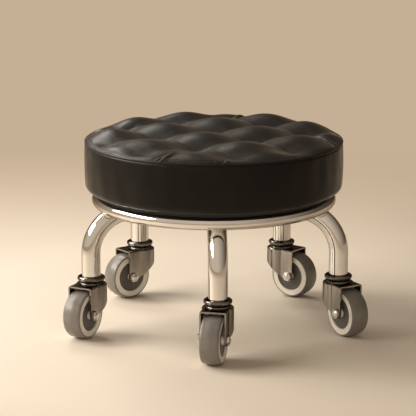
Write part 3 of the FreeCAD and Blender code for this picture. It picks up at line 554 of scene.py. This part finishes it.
def cells(tree, scale):
    made = add(tree, "ShaderNodeTexVoronoi", {"feature": "SMOOTH_F1"}, Vector=own_place(tree), Scale=scale)
    return made.outputs["Distance"]


def span(tree, value, low, high, start=0.3, end=0.7):
    """A value from start to end spread from low to high."""
    made = add(tree, "ShaderNodeMapRange", Value=value, From_Min=start, From_Max=end, To_Min=low, To_Max=high)
    return made.outputs["Result"]


def tone(tree, value, dark, light, start=0.3, end=0.7):
    """A colour from dark to light as a value goes from start to end."""
    ramp = add(tree, "ShaderNodeValToRGB", Fac=value)
    for element, position, colour in zip(ramp.color_ramp.elements, (start, end), (dark, light)):
        element.position = position
        element.color = (*colour, 1)
    return ramp.outputs["Color"]


def bump(tree, height, depth, strength, under=None):
    made = add(tree, "ShaderNodeBump", Height=height, Distance=depth, Strength=strength)
    if under:
        tree.links.new(under, made.inputs["Normal"])
    return made.outputs["Normal"]


def material(name, **inputs):
    """A Principled material; sockets from its other nodes are linked later with set_inputs."""
    made = bpy.data.materials.new(name)
    made.use_nodes = True
    set_inputs(made, **inputs)
    return made


def set_inputs(made, **inputs):
    fill_sockets(made.node_tree, made.node_tree.nodes["Principled BSDF"], inputs)


def leather():
    made = material(
        "cover_leather",
        Specular_IOR_Level=0.22,
        Sheen_Weight=0.10,
        Sheen_Roughness=0.3,
        Sheen_Tint=(1.0, 0.84, 0.68, 1),
    )
    tree = made.node_tree
    wear = noise(tree, scale=14, detail=4)
    grain = cells(tree, scale=620)
    fine = noise(tree, scale=2600, detail=2)
    soft = noise(tree, scale=55, detail=3)
    normal = bump(tree, grain, depth=0.00022, strength=0.40)
    normal = bump(tree, fine, depth=0.00006, strength=0.5, under=normal)
    normal = bump(tree, soft, depth=0.0009, strength=0.35, under=normal)
    set_inputs(
        made,
        Base_Color=tone(tree, wear, dark=(0.0044, 0.0036, 0.0030), light=(0.0074, 0.0060, 0.0050)),
        Roughness=span(tree, soft, low=0.31, high=0.40),
        Normal=normal,
    )
    return made


def thread():
    made = material("seam_thread", Sheen_Weight=0.2)
    tree = made.node_tree
    twist = noise(tree, scale=1800, detail=2)
    set_inputs(
        made,
        Base_Color=tone(tree, twist, dark=(0.018, 0.016, 0.014), light=(0.050, 0.045, 0.040)),
        Roughness=span(tree, twist, low=0.45, high=0.65),
        Normal=bump(tree, twist, depth=0.0001, strength=0.5),
    )
    return made


def metal(name, dark, light, smooth, dull, scale, depth=0.00002, edge=(1, 1, 1), stretch=None):
    made = material(name, Metallic=1.0, Specular_Tint=(*edge, 1))
    tree = made.node_tree
    smudge = noise(tree, scale, detail=5, rough=0.6, stretch=stretch)
    fine = noise(tree, scale=700, detail=2)
    set_inputs(
        made,
        Base_Color=tone(tree, smudge, dark, light),
        Roughness=span(tree, smudge, smooth, dull),
        Normal=bump(tree, fine, depth, strength=0.25),
    )
    return made


def plastic(name, dark, light, smooth, dull, grain=1400, depth=0.00005):
    made = material(name)
    tree = made.node_tree
    cloud = noise(tree, scale=45, detail=5, rough=0.6)
    fine = noise(tree, grain, detail=3)
    set_inputs(
        made,
        Base_Color=tone(tree, cloud, dark, light),
        Roughness=span(tree, cloud, smooth, dull),
        Normal=bump(tree, fine, depth, strength=0.5),
    )
    return made


def wood(name, dark, light, smooth, dull):
    made = material(name)
    tree = made.node_tree
    grain = noise(tree, scale=60, detail=6, rough=0.6, stretch=(1, 9, 9))
    set_inputs(
        made,
        Base_Color=tone(tree, grain, dark, light),
        Roughness=span(tree, grain, smooth, dull),
        Normal=bump(tree, grain, depth=0.0002, strength=0.4),
    )
    return made


def foam():
    made = material("cushion_foam", Sheen_Weight=0.1)
    tree = made.node_tree
    pores = cells(tree, scale=700)
    set_inputs(
        made,
        Base_Color=tone(tree, pores, (0.45, 0.40, 0.30), (0.72, 0.66, 0.52), start=0.1, end=0.5),
        Roughness=span(tree, pores, low=0.8, high=0.95),
        Normal=bump(tree, pores, depth=0.0004, strength=0.6),
    )
    return made


CHROME_EDGE = (0.40, 0.34, 0.28)
NICKEL_EDGE = (0.35, 0.31, 0.27)
FORK_STREAKS = (1, 1, 0.22)
MATERIALS = {
    "cover_leather": leather(),
    "cushion_foam": foam(),
    "plywood": wood(
        "plywood", dark=(0.42, 0.28, 0.16), light=(0.64, 0.48, 0.32), smooth=0.5, dull=0.7,
    ),
    "black_board": wood(
        "black_board", dark=(0.008, 0.0075, 0.007), light=(0.016, 0.015, 0.014), smooth=0.42, dull=0.6,
    ),
    "chrome": metal(
        "chrome", dark=(0.76, 0.74, 0.71), light=(0.84, 0.825, 0.80), smooth=0.03, dull=0.07,
        scale=22, edge=CHROME_EDGE,
    ),
    "dark_nickel": metal(
        "dark_nickel", dark=(0.25, 0.230, 0.206), light=(0.37, 0.345, 0.315), smooth=0.11, dull=0.22,
        scale=90, edge=NICKEL_EDGE, stretch=FORK_STREAKS,
    ),
    "zinc_steel": metal(
        "zinc_steel", dark=(0.68, 0.665, 0.64), light=(0.80, 0.785, 0.76), smooth=0.20, dull=0.32,
        scale=160, depth=0.00005,
    ),
    "black_plastic": plastic(
        "black_plastic", dark=(0.014, 0.014, 0.014), light=(0.024, 0.023, 0.022), smooth=0.38, dull=0.5,
    ),
    "tread_grey": plastic(
        "tread_grey", dark=(0.158, 0.143, 0.126), light=(0.212, 0.194, 0.173), smooth=0.28, dull=0.40,
        grain=900, depth=0.00008,
    ),
    "core_grey": plastic(
        "core_grey", dark=(0.78, 0.735, 0.66), light=(0.86, 0.815, 0.74), smooth=0.26, dull=0.38,
        grain=1500, depth=0.00003,
    ),
    "cap_grey": plastic(
        "cap_grey", dark=(0.075, 0.068, 0.062), light=(0.115, 0.105, 0.096), smooth=0.42, dull=0.55,
    ),
}
for entry in frame["record"]["subparts"]:
    surface = nodes[entry["node"]].data.materials
    surface.clear()
    surface.append(MATERIALS[entry["material_slot"]])
# Painted shade: the collars get a darker copy of the forks' dark nickel.
COLLAR_PAINTED_SHADE = metal(
    "collar_nickel_painted_shade", dark=(0.15, 0.138, 0.125), light=(0.22, 0.205, 0.19), smooth=0.10, dull=0.20,
    scale=60, edge=NICKEL_EDGE,
)
# Painted shade: the thrust washers and balls are near black, standing in for the shaded gap between the collar and
# the fork plate.
RACE_PAINTED_SHADE = metal(
    "race_steel_painted_shade", dark=(0.055, 0.050, 0.046), light=(0.085, 0.078, 0.072), smooth=0.30, dull=0.45,
    scale=120,
)
nodes["swivel_collars"].data.materials[0] = COLLAR_PAINTED_SHADE
nodes["swivel_balls"].data.materials[0] = RACE_PAINTED_SHADE
nodes["thrust_washers"].data.materials[0] = RACE_PAINTED_SHADE


def dress(piece, slot, body, replaces=(), look=None):
    """Give a new piece its material and its body, and hide the CAD parts that it stands for."""
    piece.data.materials.append(look or MATERIALS[slot])
    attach(piece, body)
    if replaces:
        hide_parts(*replaces)
    return piece


cushion_top = dress(make_cushion_top(), "cover_leather", "frame", ["seat_top_cover", "seat_foam"])
cushion_band = dress(make_cushion_band(), "cover_leather", "frame", ["seat_side_band"])
dress(make_seam(), "cover_leather", "frame", ["seat_welt"])
sewing = thread()
for row, inset in enumerate(STITCH_ROWS, 1):
    stitches = make_stitches(f"seam_stitches_{row}", RIM - inset)
    dress(stitches, "cover_leather", "frame", look=sewing)
for leg in LEGS:
    dress(make_weld(leg), "chrome", "frame")
    dress(make_tyre(leg), "tread_grey", f"wheel_{leg}", [f"tyre_{leg}"])

# The studio: floor colours near and far, the far one darker as painted shade; the painted glow that far rays from
# the camera and off metal see of it, darker to the sides and in front as painted reflections in the chrome; and
# between which distances each fades.
FLOOR_NEAR = (0.82, 0.73, 0.61)
FLOOR_FAR_PAINTED_SHADE = (0.50, 0.385, 0.27)
FLOOR_FADE = (0.45, 1.6)
FLOOR_RINGS = (0.0005, 1.0, 2.0, 4.0, 9.0)
FLOOR_SECTORS = 64
FAR_PAINTED_GLOW = (0.56, 0.43, 0.30)
SIDE_PAINTED_GLOW = (0.43, 0.325, 0.225)
FAR_FADE = (0.40, 1.30)
BEHIND_FADE = (0.35, 0.85)
# The room: its bright side, and its dim and bright tones and strength as light and as seen in metal.
WORLD_BRIGHT_SIDE = (-0.64, -0.72, 0.27)
ROOM_LIGHT = ((0.27, 0.195, 0.135), (0.84, 0.66, 0.48), 0.34)
ROOM_SHOWN = ((0.14, 0.10, 0.07), (0.88, 0.74, 0.58), 0.70)
ROOM_FADE = (0.1, 0.9)
# Lamps: name, place, aim, size, power, colour, and whether metal mirrors it.
LAMPS = (
    ("key", (-2.00, -0.10, 1.20), (0, 0, 0.15), (1.9, 0.75), 52, (1.0, 0.94, 0.86), True),
    ("side", (-1.50, 0.60, 1.72), (0, 0, 0.25), (0.9, 0.8), 18, (1.0, 0.95, 0.88), True),
    ("top", (-0.78, 1.62, 1.55), (0, 0, 0.25), (0.9, 0.7), 14, (1.0, 0.95, 0.88), True),
    ("fill", (0.5, -2.4, 1.0), (0, 0, 0.10), (1.2, 0.8), 9, (1.0, 0.93, 0.84), False),
)
# The camera, fitted to the photograph.
CAMERA_PLACE = (-0.07648, -2.49531, 0.73172)
CAMERA_TURN = (math.radians(77.1104), 0, math.radians(-1.5739))
CAMERA_LENS = 161.81
CAMERA_SENSOR = 36


def seen_rays(tree):
    """1 for rays that show the background: from the camera, off metal and through glass."""
    path = add(tree, "ShaderNodeLightPath").outputs
    first = calculate(tree, "ShaderNodeMath", "MAXIMUM", path["Is Camera Ray"], path["Is Glossy Ray"])
    second = calculate(
        tree, "ShaderNodeMath", "MAXIMUM", first.outputs["Value"], path["Is Transmission Ray"]
    )
    return second.outputs["Value"]


def mix_shaders(tree, share, first, second):
    mixed = add(tree, "ShaderNodeMixShader", Fac=share)
    tree.links.new(first, mixed.inputs[1])
    tree.links.new(second, mixed.inputs[2])
    return mixed.outputs["Shader"]


def make_floor():
    """A wide round floor, pale near the stool and darker far away as painted shade, that far off glows for the
    camera and metal as a painted backdrop, and that is clear from below.
    """
    turns = [FULL_TURN * i / FLOOR_SECTORS for i in range(FLOOR_SECTORS)]
    points = [(r * math.cos(t), r * math.sin(t), 0) for r in FLOOR_RINGS for t in turns]
    faces = grid_faces(len(FLOOR_RINGS), FLOOR_SECTORS) + [tuple(range(FLOOR_SECTORS))]
    floor = add_mesh("studio_floor", points, faces)
    if floor.data.polygons[0].normal.z < 0:
        floor.data.flip_normals()
    look = material("studio_floor")
    tree = look.node_tree
    place = own_place(tree)
    away = calculate(tree, "ShaderNodeVectorMath", "LENGTH", place).outputs["Value"]
    set_inputs(
        look,
        Base_Color=tone(tree, span(tree, away, 0, 1, *FLOOR_FADE), FLOOR_NEAR, FLOOR_FAR_PAINTED_SHADE, 0, 1),
        Roughness=span(tree, noise(tree, scale=6, detail=4), low=0.55, high=0.70),
    )
    beside = calculate(tree, "ShaderNodeVectorMath", "NORMALIZE", place).outputs["Vector"]
    behind = add(tree, "ShaderNodeSeparateXYZ", Vector=beside).outputs["Y"]
    # Painted glow: far rays from the camera and off metal see this tone instead of the lit floor, darker to the
    # sides and in front as painted reflections.
    distant = tone(tree, behind, SIDE_PAINTED_GLOW, FAR_PAINTED_GLOW, *BEHIND_FADE)
    painted_glow = add(tree, "ShaderNodeEmission", Color=distant).outputs["Emission"]
    far = span(tree, away, 0, 1, *FAR_FADE)
    seen = calculate(tree, "ShaderNodeMath", "MULTIPLY", far, seen_rays(tree)).outputs["Value"]
    faded = mix_shaders(tree, seen, tree.nodes["Principled BSDF"].outputs["BSDF"], painted_glow)
    clear = add(tree, "ShaderNodeBsdfTransparent").outputs["BSDF"]
    under = add(tree, "ShaderNodeNewGeometry").outputs["Backfacing"]
    both = mix_shaders(tree, under, faded, clear)
    tree.links.new(both, tree.nodes["Material Output"].inputs["Surface"])
    floor.data.materials.append(look)


def make_lamp(name, place, aim, size, power, colour, mirrored):
    light = bpy.data.lights.new(name, "AREA")
    light.shape = "RECTANGLE"
    light.size, light.size_y = size
    light.energy = power
    light.color = colour
    made = bpy.data.objects.new(name, light)
    made.location = place
    made.rotation_euler = (Vector(aim) - Vector(place)).to_track_quat("-Z", "Y").to_euler()
    made.visible_camera = False
    made.visible_glossy = mirrored
    bpy.context.scene.collection.objects.link(made)


def make_world():
    """A dim warm room, brighter to the left of the camera."""
    world = bpy.data.worlds.new("studio")
    bpy.context.scene.world = world
    world.use_nodes = True
    tree = world.node_tree
    way = add(tree, "ShaderNodeTexCoord").outputs["Generated"]
    facing = calculate(tree, "ShaderNodeVectorMath", "DOT_PRODUCT", way)
    facing.inputs[1].default_value = WORLD_BRIGHT_SIDE
    side = span(tree, facing.outputs["Value"], 0, 1, start=-1, end=1)
    backgrounds = []
    for dim, bright, strength in (ROOM_LIGHT, ROOM_SHOWN):
        colour = tone(tree, side, dim, bright, *ROOM_FADE)
        made = add(tree, "ShaderNodeBackground", Color=colour, Strength=strength)
        backgrounds.append(made.outputs["Background"])
    both = mix_shaders(tree, seen_rays(tree), *backgrounds)
    tree.links.new(both, tree.nodes["World Output"].inputs["Surface"])
    tree.nodes.remove(tree.nodes["Background"])


make_floor()
make_world()
for lamp in LAMPS:
    make_lamp(*lamp)

camera = bpy.data.objects.new("camera", bpy.data.cameras.new("camera"))
camera.location = CAMERA_PLACE
camera.rotation_euler = CAMERA_TURN
camera.data.lens = CAMERA_LENS
camera.data.sensor_width = CAMERA_SENSOR
bpy.context.scene.collection.objects.link(camera)
bpy.context.scene.camera = camera
bpy.context.scene.view_settings.view_transform = "Standard"
